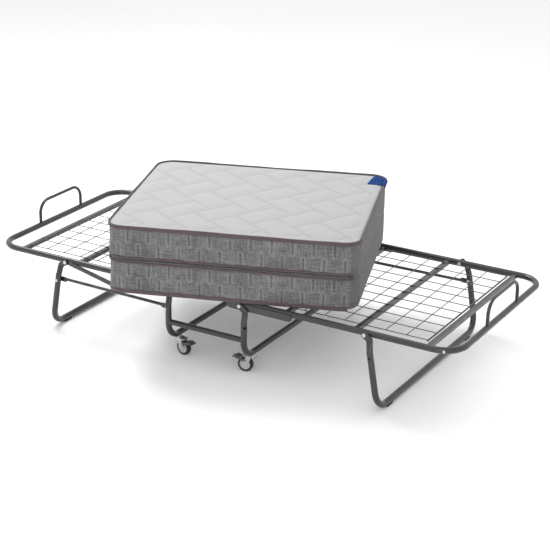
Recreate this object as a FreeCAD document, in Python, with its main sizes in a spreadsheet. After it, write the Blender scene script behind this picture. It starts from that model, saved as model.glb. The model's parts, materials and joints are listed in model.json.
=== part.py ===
import FreeCAD, Part
import math
import os
import re
import Sketcher

# Rollaway bed, unfolded, with its folding mattress lying askew on the middle of the deck.
# X runs along the bed towards the foot end, Y across it, Z up. Millimetres and degrees.
# The origin is on the floor, midway along the bed and under the mattress's middle across
# it, which is the middle of the whole. The deck's centre line is mattress_y to one side.

os.makedirs("parts", exist_ok=True)
doc = FreeCAD.newDocument("RollawayBed")
V = FreeCAD.Vector

DIMENSIONS = {
    # whole bed
    "bed_length": 1880, "deck_width": 765, "rail_height": 268,
    # main tubes and the plastic plugs in the rails' inner ends
    "tube_dia": 22, "tube_wall": 1.5, "corner_radius": 80, "rail_inner_end": 80,
    "plug_depth": 12, "plug_flange": 2,
    # cross bars: square tube between the rails
    "bar_size": 15, "bar_wall": 1.2, "bar_drop": 3.5, "bar_cope": 3,
    "end_bar_setback": 114, "bar_pitch": 262, "inner_bar_setback": 32,
    # welded wire mesh
    "wire_dia": 3, "edge_wire_dia": 6, "wire_weld": 0.3, "mesh_setback": 129,
    "mesh_inner": 47, "mesh_side_gap": 54.5, "wires_along": 11, "wires_across": 9,
    # hoops that keep the mattress on the deck
    "hoop_rod_dia": 12, "hoop_half": 126, "hoop_rise": 92, "hoop_bend": 48,
    # fold pivots and the hinge plates welded to the rails
    "pivot_x": 132, "pivot_drop": 6, "plate_thick": 4, "plate_length": 254,
    "plate_height": 24, "plate_rise": -4,
    # pressed tube ends
    "tab_thick": 5, "tab_width": 22, "tab_gap": 0.5, "tab_blend": 40, "tab_reach": 57,
    # rivets and pins
    "rivet_dia": 8, "running_gap": 0.05, "rivet_head_dia": 14, "rivet_head": 3.2,
    "head_gap": 0.3, "shoulder_dia": 12, "tail_dia": 13, "tail_head": 2.5,
    "stud_dia": 10, "stud_heading": 25,
    # carriage
    "hoop_x": 155, "carriage_rise": 17, "hoop_bend_radius": 60,
    "side_bar_dia": 20, "side_bar_rise": 66,
    # end legs
    "leg_pivot_x": 610, "leg_pivot_rise": -1, "leg_foot_x": 672, "leg_splay": 10,
    "glide_thick": 3, "glide_lip": 4, "glide_length": 36,
    "glide_width": 18,
    # link rods
    "link_out": 30, "link_down": 70, "rod_dia": 11, "eye_dia": 18, "eye_thick": 3.5,
    "eye_gap": 0.3, "eye_length": 24, "rod_start": 14,
    # closing strap
    "strap_angle": 12, "strap_width": 16, "strap_thick": 3.5, "strap_head_dia": 26,
    "strap_gap": 0.5, "notch_gap": 0.3,
    # casters
    "wheel_dia": 54, "wheel_width": 18, "tyre_thick": 8, "tyre_round": 3, "hub_recess": 3,
    "caster_trail": 26, "fork_gap": 0.8, "fork_thick": 2, "cheek_width": 18,
    "crown_gap": 5, "crown_thick": 3, "crown_width": 28, "stem_dia": 9, "boss_dia": 26,
    "boss_height": 11, "axle_dia": 6, "axle_head_dia": 10, "axle_head": 1.5,
    # brake pedals
    "pedal_pivot_x": 27, "pedal_rise": 16, "pedal_stud_dia": 5, "pedal_stud": 2.4,
    "pedal_arm": 1.8, "pedal_arm_width": 10, "pedal_plate": 2.5, "pedal_width": 27,
    "tread_lap": 1, "tread_rise": 12, "tip_reach": 45, "tip_rise": 9, "shoe_drop": 4,
    "shoe_reach": 9,
    # mattress
    "mattress_length": 868, "mattress_width": 738, "block_thick": 120, "block_gap": 4,
    "mattress_turn": 19.5, "mattress_x": -17, "mattress_y": -60, "mattress_corner": 58,
    "mattress_rest": 0.4,
}

# Places that follow from the sizes above, as expressions on the sheet's cells.
TUBE_R = "tube_dia / 2"
RAIL_Y = "(deck_width - tube_dia) / 2"
END_X = "(bed_length - tube_dia) / 2"
RAIL_FACE = "deck_width / 2"
RAIL_INSIDE = "(deck_width / 2 - tube_dia)"
PLATE_FACE = "(deck_width / 2 + plate_thick)"
TAB_FACE = "(deck_width / 2 + plate_thick + tab_gap)"
UPRIGHT_Y = "(deck_width / 2 + plate_thick + tab_gap + tube_dia / 2)"
TAB_OUTER = "(deck_width / 2 + plate_thick + tab_gap + tab_thick)"
PIVOT_Z = "(rail_height - pivot_drop)"
LEG_PIVOT_Z = "(rail_height + leg_pivot_rise)"
LINK_X = "(pivot_x + link_out)"
LINK_Z = "(rail_height - pivot_drop - link_down)"
LEG_LINK_X = "(leg_pivot_x + link_out)"
LEG_LINK_Z = "(rail_height + leg_pivot_rise - link_down)"
FOOT_Z = "(glide_thick + tube_dia / 2)"
HOLE_R = "(rivet_dia / 2 + running_gap)"
EYE_OUTER = f"({TAB_FACE} - eye_gap)"
EYE_INNER = f"({TAB_FACE} - eye_gap - eye_thick)"
CASTER_Y = f"({UPRIGHT_Y} - hoop_bend_radius)"
WHEEL_R = "wheel_dia / 2"
CROWN_Z = "(wheel_dia + crown_gap)"
CARRIAGE_Z = f"({CROWN_Z} + carriage_rise)"
PEDAL_Z = "(wheel_dia / 2 + pedal_rise)"
CHEEK_GAP = "(wheel_width + 2 * fork_gap)"
CHEEK_SPAN = "(wheel_width + 2 * fork_gap + 2 * fork_thick)"

HALVES = {"head": -1, "foot": 1}
SIDES = {"near": -1, "far": 1}
LINK_SIDE = {"head": "near", "foot": "far"}
# name of each caster: half, side, the heading of its trail and whether it has a brake
CASTERS = {
    "near_head": ("head", "near", -8, True),
    "near_foot": ("foot", "near", 190, True),
    "far_head": ("head", "far", 25, False),
    "far_foot": ("foot", "far", 200, False),
}

sheet = doc.addObject("Spreadsheet::Sheet", "Dimensions")
for row, (alias, value) in enumerate(DIMENSIONS.items(), start=1):
    sheet.set(f"A{row}", alias)
    sheet.set(f"B{row}", str(value))
    sheet.setAlias(f"B{row}", alias)
doc.recompute()


# ------------------------------------------------------------------- helpers
def cell(text):
    """An expression with each dimension's name made a reference to the sheet."""
    def reference(word):
        return f"Dimensions.{word[0]}" if word[0] in DIMENSIONS else word[0]
    return re.sub(r"[a-z_]+", reference, text)


def number(text):
    """The present value of an expression."""
    return float(sheet.evalExpression(cell(text)))


def new_body(label, x="0", y="0", z="0", turn=0, tilt="0"):
    """A body tilted about Y, turned about Z and placed at a point given by expressions.
    The y is measured from the deck's centre line."""
    y = f"{y} - mattress_y"
    body = doc.addObject("PartDesign::Body", label)
    body.Label = label
    heading = FreeCAD.Rotation(V(0, 0, 1), turn)
    lean = FreeCAD.Rotation(V(0, 1, 0), number(tilt))
    body.Placement = FreeCAD.Placement(V(number(x), number(y), number(z)), heading * lean)
    for axis, text in zip("xyz", (x, y, z)):
        body.setExpression(f"Placement.Base.{axis}", cell(text))
    return body


def origin_part(body, role):
    """One of the body's own origin planes or axes."""
    return next(part for part in body.Origin.OriginFeatures if part.Role == role)


def sketch_on(body, plane, offset="0"):
    """A sketch on one of the body's origin planes, moved along the plane's normal."""
    sketch = body.newObject("Sketcher::SketchObject", f"{body.Name}_sketch")
    sketch.AttachmentSupport = [(origin_part(body, plane), "")]
    sketch.MapMode = "FlatFace"
    sketch.setExpression(".AttachmentOffset.Base.z", cell(offset))
    return sketch


def hold(sketch, kind, *args):
    """A dimension constraint bound to the expression given last."""
    *where, text = args
    index = sketch.addConstraint(Sketcher.Constraint(kind, *where, number(text)))
    sketch.setExpression(f"Constraints[{index}]", cell(text))


def hold_point(sketch, geometry, end, point):
    hold(sketch, "DistanceX", geometry, end, point[0])
    hold(sketch, "DistanceY", geometry, end, point[1])


def vector(point):
    return V(number(point[0]), number(point[1]), 0)


def add_rings(sketch, centre, *radii):
    for radius in radii:
        ring = sketch.addGeometry(Part.Circle(vector(centre), V(0, 0, 1), number(radius)))
        hold_point(sketch, ring, 3, centre)
        hold(sketch, "Radius", ring, radius)


def add_outline(sketch, points):
    """A closed polygon."""
    corners = [vector(point) for point in points]
    following = corners[1:] + corners[:1]
    lines = [sketch.addGeometry(Part.LineSegment(a, b)) for a, b in zip(corners, following)]
    for line, after, point in zip(lines, lines[1:] + lines[:1], points):
        sketch.addConstraint(Sketcher.Constraint("Coincident", line, 2, after, 1))
        hold_point(sketch, line, 1, point)


def add_rectangle(sketch, low, high):
    add_outline(sketch, [low, (high[0], low[1]), high, (low[0], high[1])])


def add_slot(sketch, start, finish, radius):
    """Two half circles joined by two tangent lines."""
    a, b, r = vector(start), vector(finish), number(radius)
    along = (b - a).normalize()
    across = V(-along.y, along.x, 0) * r
    left = sketch.addGeometry(Part.LineSegment(b + across, a + across))
    right = sketch.addGeometry(Part.LineSegment(a - across, b - across))
    back = sketch.addGeometry(Part.Arc(a + across, a - along * r, a - across))
    front = sketch.addGeometry(Part.Arc(b - across, b + along * r, b + across))
    for one, end, other, other_end in ((left, 2, back, 1), (back, 2, right, 1),
                                       (right, 2, front, 1), (front, 2, left, 1)):
        sketch.addConstraint(Sketcher.Constraint("Tangent", one, end, other, other_end))
    hold_point(sketch, back, 3, start)
    hold_point(sketch, front, 3, finish)
    hold(sketch, "Radius", back, radius)


def add_rounded_path(sketch, points, radius):
    """Straight runs between the points, with an arc of the radius in each corner."""
    corners = [vector(point) for point in points]
    starts, ends, bends = [corners[0]], [], []
    for before, corner, after in zip(corners, corners[1:], corners[2:]):
        back, ahead = (before - corner).normalize(), (after - corner).normalize()
        half_angle = back.getAngle(ahead) / 2
        reach = number(radius) / math.tan(half_angle)
        middle = (back + ahead).normalize() * (number(radius) / math.sin(half_angle) - number(radius))
        ends.append(corner + back * reach)
        starts.append(corner + ahead * reach)
        # a sketch's arcs run anticlockwise, so a right turn is drawn from its end
        turns_left = ahead.cross(back).z > 0
        arc = (ends[-1], corner + middle, starts[-1])
        bends.append((arc, 1, 2) if turns_left else (arc[::-1], 2, 1))
    ends.append(corners[-1])
    lines = [sketch.addGeometry(Part.LineSegment(a, b)) for a, b in zip(starts, ends)]
    for line, after, (arc_points, first, last), point in zip(lines, lines[1:], bends, points[1:]):
        arc = sketch.addGeometry(Part.Arc(*arc_points))
        sketch.addConstraint(Sketcher.Constraint("Tangent", line, 2, arc, first))
        sketch.addConstraint(Sketcher.Constraint("Tangent", arc, last, after, 1))
        hold(sketch, "Radius", arc, radius)
        mark = sketch.addGeometry(Part.Point(vector(point)), True)
        sketch.addConstraint(Sketcher.Constraint("PointOnObject", mark, 1, line))
        sketch.addConstraint(Sketcher.Constraint("PointOnObject", mark, 1, after))
        hold_point(sketch, mark, 1, point)
    hold_point(sketch, lines[0], 1, points[0])
    hold_point(sketch, lines[-1], 2, points[-1])


def finish(body, feature):
    body.Tip = feature
    doc.recompute()
    return feature


def pad(body, sketch, length, both_ways=False):
    feature = body.newObject("PartDesign::Pad", f"{body.Name}_pad")
    feature.Profile = sketch
    feature.setExpression("Length", cell(length))
    feature.SideType = "Symmetric" if both_ways else "One side"
    return finish(body, feature)


def pocket(body, sketch, length=None):
    """A symmetric cut: right through, or as wide as the length."""
    feature = body.newObject("PartDesign::Pocket", f"{body.Name}_pocket")
    feature.Profile = sketch
    feature.SideType = "Symmetric"
    if length is None:
        feature.Type = "ThroughAll"
    else:
        feature.setExpression("Length", cell(length))
    before = body.Shape.Volume
    finish(body, feature)
    if not body.Shape.Volume < before - 1e-3:
        raise RuntimeError(f"{feature.Name} cuts nothing")
    return feature


def pipe(body, path, profile):
    feature = body.newObject("PartDesign::AdditivePipe", f"{body.Name}_pipe")
    feature.Profile = profile
    feature.Spine = path
    return finish(body, feature)


def loft(body, first, second):
    feature = body.newObject("PartDesign::AdditiveLoft", f"{body.Name}_loft")
    feature.Profile = first
    feature.Sections = [second]
    return finish(body, feature)


def fillet(body, radius, wanted):
    """Rounds the edges of the body that the test picks."""
    base = body.Tip
    edges = [f"Edge{n}" for n, edge in enumerate(base.Shape.Edges, start=1) if wanted(edge)]
    feature = body.newObject("PartDesign::Fillet", f"{body.Name}_fillet")
    feature.Base = (base, edges)
    feature.setExpression("Radius", cell(radius))
    return finish(body, feature)


def outward_pad(body, side, inner, thick, draw):
    """A slab parallel to XZ whose inner face is that far from the middle, on one side."""
    offset = inner if side < 0 else f"-({inner} + {thick})"
    sketch = sketch_on(body, "XZ_Plane", offset)
    draw(sketch)
    pad(body, sketch, thick)


def disc(body, side, inner, thick, centre, radius):
    outward_pad(body, side, inner, thick, lambda sketch: add_rings(sketch, centre, radius))


def drill(body, centre, radius):
    """A hole along Y through everything."""
    sketch = sketch_on(body, "XZ_Plane")
    add_rings(sketch, centre, radius)
    pocket(body, sketch)


# ------------------------------------------------------- deck halves
def half_body(half, name, z="rail_height"):
    """A body of one half of the deck, drawn for the foot half and turned for the head."""
    return new_body(f"{half}_{name}", z=z, turn=0 if half == "foot" else 180)


def deck_frame(half):
    body = half_body(half, "deck_frame")
    path = sketch_on(body, "XY_Plane")
    near, far = f"-({RAIL_Y})", RAIL_Y
    points = [("rail_inner_end", near), (END_X, near), (END_X, far), ("rail_inner_end", far)]
    add_rounded_path(path, points, "corner_radius")
    profile = sketch_on(body, "YZ_Plane", "rail_inner_end")
    add_rings(profile, (near, "0"), TUBE_R, f"{TUBE_R} - tube_wall")
    pipe(body, path, profile)
    drill(body, ("leg_pivot_x", "leg_pivot_rise"), "rivet_dia / 2")


def rail_plugs(half):
    body = half_body(half, "rail_plugs")
    flange = sketch_on(body, "YZ_Plane", "rail_inner_end - plug_flange")
    stub = sketch_on(body, "YZ_Plane", "rail_inner_end")
    for side in SIDES.values():
        add_rings(flange, (f"{side} * {RAIL_Y}", "0"), TUBE_R)
        add_rings(stub, (f"{side} * {RAIL_Y}", "0"), f"{TUBE_R} - tube_wall")
    pad(body, flange, "plug_flange")
    pad(body, stub, "plug_depth")


def cross_bar(half, name, x):
    """A square tube whose ends are coped to the rails."""
    body = half_body(half, name)
    section = sketch_on(body, "XZ_Plane")
    for reach in ("bar_size / 2", "(bar_size / 2 - bar_wall)"):
        low = (f"{x} - {reach}", f"-bar_drop - {reach}")
        high = (f"{x} + {reach}", f"-bar_drop + {reach}")
        add_rectangle(section, low, high)
    pad(body, section, f"2 * ({RAIL_Y} - bar_cope)", both_ways=True)
    rails = sketch_on(body, "YZ_Plane")
    for side in SIDES.values():
        add_rings(rails, (f"{side} * {RAIL_Y}", "0"), TUBE_R)
    pocket(body, rails)


def pattern(body, feature, axis, length, count):
    """Copies a feature along one of the body's origin axes."""
    copies = body.newObject("PartDesign::LinearPattern", f"{body.Name}_pattern")
    copies.Originals = [feature]
    copies.Direction = (origin_part(body, axis), [""])
    copies.setExpression("Length", cell(length))
    copies.setExpression("Occurrences", cell(count))
    return finish(body, copies)


def deck_mesh(half):
    """Long wires on the bars, short wires welded on top and a thick wire at the end."""
    body = half_body(half, "deck_mesh")
    bar_top = "(bar_size / 2 - bar_drop)"
    edge_x = f"({END_X} - mesh_setback + tube_dia / 2)"
    span = "(deck_width - 2 * mesh_side_gap)"
    inner_x = "(rail_inner_end + mesh_inner)"
    reach = f"(({edge_x} - {inner_x}) * (1 - 1 / wires_across))"
    low_wire = f"({bar_top} + wire_dia / 2)"
    long_wire = sketch_on(body, "YZ_Plane", f"{inner_x} - wire_dia")
    add_rings(long_wire, (f"-{span} / 2", low_wire), "wire_dia / 2")
    first = pad(body, long_wire, f"{edge_x} - {inner_x} + wire_dia")
    pattern(body, first, "Y_Axis", span, "wires_along")
    short_wire = sketch_on(body, "XZ_Plane")
    add_rings(short_wire, (inner_x, f"{low_wire} + wire_dia - wire_weld"), "wire_dia / 2")
    second = pad(body, short_wire, f"{span} + 4 * wire_dia", both_ways=True)
    pattern(body, second, "X_Axis", reach, "wires_across")
    edge = sketch_on(body, "XZ_Plane")
    add_rings(edge, (edge_x, low_wire), "edge_wire_dia / 2")
    pad(body, edge, f"{span} + 4 * wire_dia", both_ways=True)


def mattress_hoop(half):
    """A bent rod, swept from the middle of its top to one foot and mirrored."""
    body = half_body(half, "mattress_hoop")
    path = sketch_on(body, "YZ_Plane", END_X)
    points = [("0", "hoop_rise"), ("hoop_half", "hoop_rise"), ("hoop_half", "0")]
    add_rounded_path(path, points, "hoop_bend")
    profile = sketch_on(body, "XZ_Plane")
    add_rings(profile, (END_X, "hoop_rise"), "hoop_rod_dia / 2")
    rod = pipe(body, path, profile)
    mirror = body.newObject("PartDesign::Mirrored", f"{body.Name}_mirror")
    mirror.Originals = [rod]
    mirror.MirrorPlane = (origin_part(body, "XZ_Plane"), [""])
    finish(body, mirror)
    rail = sketch_on(body, "XZ_Plane")
    add_rings(rail, (END_X, "0"), TUBE_R)
    pocket(body, rail)


def hinge_plates(half):
    body = half_body(half, "hinge_plates")
    start = ("rail_inner_end + plate_height / 2", "plate_rise - pivot_drop")
    end = ("rail_inner_end + plate_length - plate_height / 2", "plate_rise - pivot_drop")
    for side in SIDES.values():
        outward_pad(body, side, RAIL_FACE, "plate_thick",
                    lambda sketch: add_slot(sketch, start, end, "plate_height / 2"))
    drill(body, ("pivot_x", "-pivot_drop"), "rivet_dia / 2")


def headed_rivet(body, side, centre, inner, outer):
    """A rivet with a shank between two distances from the middle and a head outside."""
    disc(body, side, inner, f"({outer} - {inner})", centre, "rivet_dia / 2")
    disc(body, side, outer, "rivet_head", centre, "rivet_head_dia / 2")


def round_heads(body, radius, side_face):
    """Rounds the outermost circular edge of each head."""
    reach = number(side_face)
    fillet(body, radius,
           lambda edge: edge.isClosed() and abs(abs(edge.Curve.Center.y) - reach) < 1e-3)


def fold_rivets(half):
    body = half_body(half, "fold_rivets")
    outer = f"({TAB_OUTER} + head_gap)"
    for side in SIDES.values():
        headed_rivet(body, side, ("pivot_x", "-pivot_drop"), RAIL_FACE, outer)
    round_heads(body, "rivet_head / 2", f"{outer} + rivet_head")


def leg_rivets(half):
    """Rivets through the rails; a shoulder fills the gap unless the strap sits there."""
    body = half_body(half, "leg_rivets")
    centre = ("leg_pivot_x", "leg_pivot_rise")
    outer = f"({TAB_OUTER} + head_gap)"
    for side in SIDES.values():
        headed_rivet(body, side, centre, RAIL_INSIDE, outer)
        disc(body, side, f"({RAIL_INSIDE} - tail_head)", "tail_head", centre, "tail_dia / 2")
        # the head half is turned half round, so its near side is drawn as the far one
        if (half, side) != ("head", 1):
            disc(body, side, RAIL_FACE, "(plate_thick + tab_gap / 2)", centre, "shoulder_dia / 2")
    round_heads(body, "rivet_head / 2", f"{outer} + rivet_head")


def corner_stud():
    """A domed stud on the near bend of the foot half."""
    bend = (f"({END_X} - corner_radius)", f"({RAIL_Y} - corner_radius)")
    reach = f"(corner_radius + {TUBE_R})"
    body = new_body("foot_corner_stud",
                    x=f"{bend[0]} + {reach} * sin(stud_heading)",
                    y=f"-{bend[1]} - {reach} * cos(stud_heading)",
                    z="rail_height", turn=number("stud_heading"))
    base = sketch_on(body, "XZ_Plane", "-tube_wall")
    add_rings(base, ("0", "0"), "stud_dia / 2")
    pad(body, base, "tube_wall + rivet_head")
    fillet(body, "rivet_head / 2", lambda edge: edge.isClosed() and edge.Curve.Center.y < -1)
    tube = sketch_on(body, "YZ_Plane")
    add_rings(tube, (f"{TUBE_R}", "0"), TUBE_R)
    pocket(body, tube)


# ------------------------------------------------------- bent tubes with pressed ends
def u_tube(body, pivot):
    """A U of tube in the body's YZ plane; each end is pressed flat and reaches the pivot."""
    tab_start = f"({pivot[1]} - tab_reach)"
    path = sketch_on(body, "YZ_Plane")
    near, far = f"-{UPRIGHT_Y}", UPRIGHT_Y
    points = [(near, tab_start), (near, "0"), (far, "0"), (far, tab_start)]
    add_rounded_path(path, points, "hoop_bend_radius")
    profile = sketch_on(body, "XY_Plane", tab_start)
    add_rings(profile, ("0", near), TUBE_R, f"{TUBE_R} - tube_wall")
    pipe(body, path, profile)
    flat = f"({tab_start} + tab_blend)"
    for side in SIDES.values():
        round_end = sketch_on(body, "XY_Plane", tab_start)
        add_rings(round_end, ("0", f"{side} * {UPRIGHT_Y}"), TUBE_R)
        flat_end = sketch_on(body, "XY_Plane", flat)
        inner, outer = f"{side} * {TAB_FACE}", f"{side} * {TAB_OUTER}"
        low, high = (inner, outer) if side > 0 else (outer, inner)
        add_rectangle(flat_end, ("-tab_width / 2", low), ("tab_width / 2", high))
        loft(body, round_end, flat_end)
        outward_pad(body, side, TAB_FACE, "tab_thick",
                    lambda sketch: add_slot(sketch, ("0", flat), pivot, "tab_width / 2"))
    drill(body, pivot, HOLE_R)


def in_leg(x, z):
    """A point of the XZ plane in the frame of a leg, which leans by its splay."""
    across, up = f"({x} - leg_foot_x)", f"({z} - {FOOT_Z})"
    return (f"({across} * cos(leg_splay) + {up} * sin(leg_splay))",
            f"({up} * cos(leg_splay) - {across} * sin(leg_splay))")


def leg_body(half, name):
    sign = HALVES[half]
    return new_body(f"{half}_{name}", x=f"{sign} * leg_foot_x", z=FOOT_Z,
                    turn=0 if half == "foot" else 180, tilt="-leg_splay")


def leg_tube(half):
    body = leg_body(half, "leg_tube")
    u_tube(body, in_leg("leg_pivot_x", LEG_PIVOT_Z))
    drill(body, in_leg(LEG_LINK_X, LEG_LINK_Z), "rivet_dia / 2")


def foot_glides(half):
    """Rubber saddles under the leg's floor tube."""
    body = new_body(f"{half}_foot_glides", x=f"{HALVES[half]} * leg_foot_x")
    base = sketch_on(body, "XY_Plane")
    outer = f"({CASTER_Y} - glide_thick)"
    for side in SIDES.values():
        inner, reach = f"{side} * ({outer} - glide_length)", f"{side} * {outer}"
        low, high = (inner, reach) if side > 0 else (reach, inner)
        add_rectangle(base, ("-glide_width / 2", low), ("glide_width / 2", high))
    pad(body, base, "glide_thick + glide_lip")
    tube = sketch_on(body, "XZ_Plane")
    add_rings(tube, ("0", FOOT_Z), TUBE_R)
    pocket(body, tube)


def pivot_pin(body, side, centre):
    """A pin through an upright, headed outside and riveted over inside the rod's eye."""
    tail = f"({EYE_INNER} - head_gap - tail_head)"
    disc(body, side, tail, "tail_head", centre, "tail_dia / 2")
    head = f"({UPRIGHT_Y} + {TUBE_R})"
    shank = f"({EYE_INNER} - head_gap)"
    disc(body, side, shank, f"({head} - {shank})", centre, "rivet_dia / 2")
    disc(body, side, head, "rivet_head", centre, "tail_dia / 2")
    round_heads(body, "rivet_head / 2", f"{head} + rivet_head")


def leg_link_pin(half):
    """The pin is drawn on the far side; the head half's turn brings its own to the near side."""
    body = leg_body(half, "leg_link_pin")
    pivot_pin(body, 1, in_leg(LEG_LINK_X, LEG_LINK_Z))


# ------------------------------------------------------- carriage
def carriage_hoop(half):
    body = new_body(f"{half}_carriage_hoop", x=f"{HALVES[half]} * hoop_x", z=CARRIAGE_Z,
                    turn=0 if half == "foot" else 180)
    u_tube(body, ("pivot_x - hoop_x", f"{PIVOT_Z} - {CARRIAGE_Z}"))
    drill(body, (f"{LINK_X} - hoop_x", f"{LINK_Z} - {CARRIAGE_Z}"), "rivet_dia / 2")


def carriage_link_pin(half):
    body = new_body(f"{half}_carriage_link_pin", turn=0 if half == "foot" else 180)
    pivot_pin(body, 1, (LINK_X, LINK_Z))


def side_bar(side):
    body = new_body(f"{side}_carriage_side_bar")
    section = sketch_on(body, "YZ_Plane")
    y = f"{SIDES[side]} * {UPRIGHT_Y}"
    centre = (y, f"{CARRIAGE_Z} + side_bar_rise")
    add_rings(section, centre, "side_bar_dia / 2", "side_bar_dia / 2 - tube_wall")
    pad(body, section, "2 * (hoop_x - bar_cope)", both_ways=True)
    uprights = sketch_on(body, "XY_Plane")
    for sign in HALVES.values():
        add_rings(uprights, (f"{sign} * hoop_x", y), TUBE_R)
    pocket(body, uprights)


def caster_stems():
    """A boss welded under the hoop at each corner, with the pin that its fork turns on."""
    body = new_body("caster_stems")
    crown_top = f"({CROWN_Z} + crown_thick)"
    tail = sketch_on(body, "XY_Plane", f"{CROWN_Z} - head_gap - tail_head")
    shank = sketch_on(body, "XY_Plane", f"{CROWN_Z} - head_gap")
    boss = sketch_on(body, "XY_Plane", f"{crown_top} + head_gap")
    for half, side, _, _ in CASTERS.values():
        centre = (f"{HALVES[half]} * hoop_x", f"{SIDES[side]} * {CASTER_Y}")
        add_rings(tail, centre, "tail_dia / 2")
        add_rings(shank, centre, "stem_dia / 2")
        add_rings(boss, centre, "boss_dia / 2")
    pad(body, tail, "tail_head")
    pad(body, shank, "crown_thick + 2 * head_gap")
    pad(body, boss, "boss_height")
    tubes = sketch_on(body, "XZ_Plane")
    for sign in HALVES.values():
        add_rings(tubes, (f"{sign} * hoop_x", CARRIAGE_Z), TUBE_R)
    pocket(body, tubes)


# ------------------------------------------------------- link rods and closing strap
def link_rod(half):
    """A rod with flattened eyes, parallel to the line between its half's two pivots."""
    sign = HALVES[half]
    rise, run = f"({LEG_PIVOT_Z} - {PIVOT_Z})", "(leg_pivot_x - pivot_x)"
    length = f"sqrt({rise} ^ 2 + {run} ^ 2)"
    body = new_body(f"{half}_link_rod", x=f"{sign} * {LINK_X}", z=LINK_Z,
                    turn=0 if half == "foot" else 180, tilt=f"-atan({rise} / {run})")
    shaft = sketch_on(body, "YZ_Plane", "rod_start")
    add_rings(shaft, (f"{EYE_OUTER} - rod_dia / 2", "0"), "rod_dia / 2")
    pad(body, shaft, f"{length} - 2 * rod_start")
    for start, end in (("0", "eye_length"), (length, f"{length} - eye_length")):
        outward_pad(body, 1, EYE_INNER, "eye_thick",
                    lambda sketch: add_slot(sketch, (start, "0"), (end, "0"), "eye_dia / 2"))
    for place in ("0", length):
        drill(body, (place, "0"), HOLE_R)


def closing_strap():
    """A flat strap on the head half's near leg rivet. Its open notch fits over the
    foot half's near rivet when the bed is folded."""
    reach = f"2 * (pivot_x - {LEG_PIVOT_Z} + {PIVOT_Z})"
    body = new_body("closing_strap", x="-leg_pivot_x", z=LEG_PIVOT_Z, tilt="strap_angle")
    inner = f"({RAIL_FACE} + strap_gap)"
    outward_pad(body, -1, inner, "strap_thick",
                lambda sketch: add_slot(sketch, ("0", "0"), (reach, "0"), "strap_width / 2"))
    for place in ("0", reach):
        disc(body, -1, inner, "strap_thick", (place, "0"), "strap_head_dia / 2")
    drill(body, ("0", "0"), HOLE_R)
    notch = sketch_on(body, "XZ_Plane")
    add_slot(notch, (reach, "0"), (f"{reach} + strap_head_dia", "0"), "shoulder_dia / 2 + notch_gap")
    pocket(body, notch)


# ------------------------------------------------------- casters
def caster_body(caster, name):
    """A body whose origin is on the floor under the swivel axis, +X along the trail."""
    half, side, heading, _ = CASTERS[caster]
    return new_body(f"{caster}_{name}", x=f"{HALVES[half]} * hoop_x",
                    y=f"{SIDES[side]} * {CASTER_Y}", turn=heading)


def caster_fork(caster):
    body = caster_body(caster, "fork")
    crown = sketch_on(body, "XY_Plane", CROWN_Z)
    add_slot(crown, ("0", "0"), ("caster_trail", "0"), "crown_width / 2")
    pad(body, crown, "crown_thick")
    cheeks = sketch_on(body, "XZ_Plane")
    add_slot(cheeks, ("caster_trail", WHEEL_R), ("caster_trail / 2", f"{CROWN_Z} - cheek_width / 4"),
             "cheek_width / 2")
    pad(body, cheeks, CHEEK_SPAN, both_ways=True)
    if CASTERS[caster][3]:
        studs = sketch_on(body, "XZ_Plane")
        add_rings(studs, ("pedal_pivot_x", PEDAL_Z), "pedal_stud_dia / 2")
        pad(body, studs, f"{CHEEK_SPAN} + 2 * pedal_stud", both_ways=True)
    channel = sketch_on(body, "XZ_Plane")
    add_rectangle(channel, ("-2 * crown_width", "0"), ("3 * crown_width", CROWN_Z))
    pocket(body, channel, CHEEK_GAP)
    above = sketch_on(body, "XZ_Plane")
    top = f"({CROWN_Z} + crown_thick)"
    add_rectangle(above, ("-2 * crown_width", top), ("3 * crown_width", f"2 * {CROWN_Z}"))
    pocket(body, above)
    stem = sketch_on(body, "XY_Plane")
    add_rings(stem, ("0", "0"), "stem_dia / 2 + running_gap")
    pocket(body, stem)
    drill(body, ("caster_trail", WHEEL_R), "axle_dia / 2")


def caster_axle(caster):
    body = caster_body(caster, "axle")
    headed = f"{CHEEK_SPAN} + 2 * axle_head"
    for diameter, length in (("axle_dia", CHEEK_SPAN), ("axle_head_dia", headed)):
        section = sketch_on(body, "XZ_Plane")
        add_rings(section, ("caster_trail", WHEEL_R), f"{diameter} / 2")
        pad(body, section, length, both_ways=True)
    waist = sketch_on(body, "XZ_Plane")
    add_rings(waist, ("caster_trail", WHEEL_R), "axle_dia / 2", "axle_head_dia")
    pocket(body, waist, CHEEK_SPAN)


def caster_tyre(caster):
    body = caster_body(caster, "tyre")
    section = sketch_on(body, "XZ_Plane")
    add_rings(section, ("caster_trail", WHEEL_R), WHEEL_R, f"{WHEEL_R} - tyre_thick")
    pad(body, section, "wheel_width", both_ways=True)
    outside = number(WHEEL_R)
    fillet(body, "tyre_round", lambda edge: edge.isClosed() and edge.Curve.Radius > outside - 1)


def caster_hub(caster):
    body = caster_body(caster, "hub")
    section = sketch_on(body, "XZ_Plane")
    bore = "(axle_dia / 2 + running_gap)"
    rim = f"({WHEEL_R} - tyre_thick)"
    add_rings(section, ("caster_trail", WHEEL_R), rim, bore)
    pad(body, section, "wheel_width - hub_recess / 2", both_ways=True)
    for side in SIDES.values():
        face = "(wheel_width / 2 - hub_recess / 4 - hub_recess)"
        offset = face if side < 0 else f"-({face} + 2 * hub_recess)"
        groove = sketch_on(body, "XZ_Plane", f"{offset} + hub_recess")
        add_rings(groove, ("caster_trail", WHEEL_R), f"{rim} - hub_recess", f"{bore} + hub_recess")
        pocket(body, groove, "2 * hub_recess")


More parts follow.
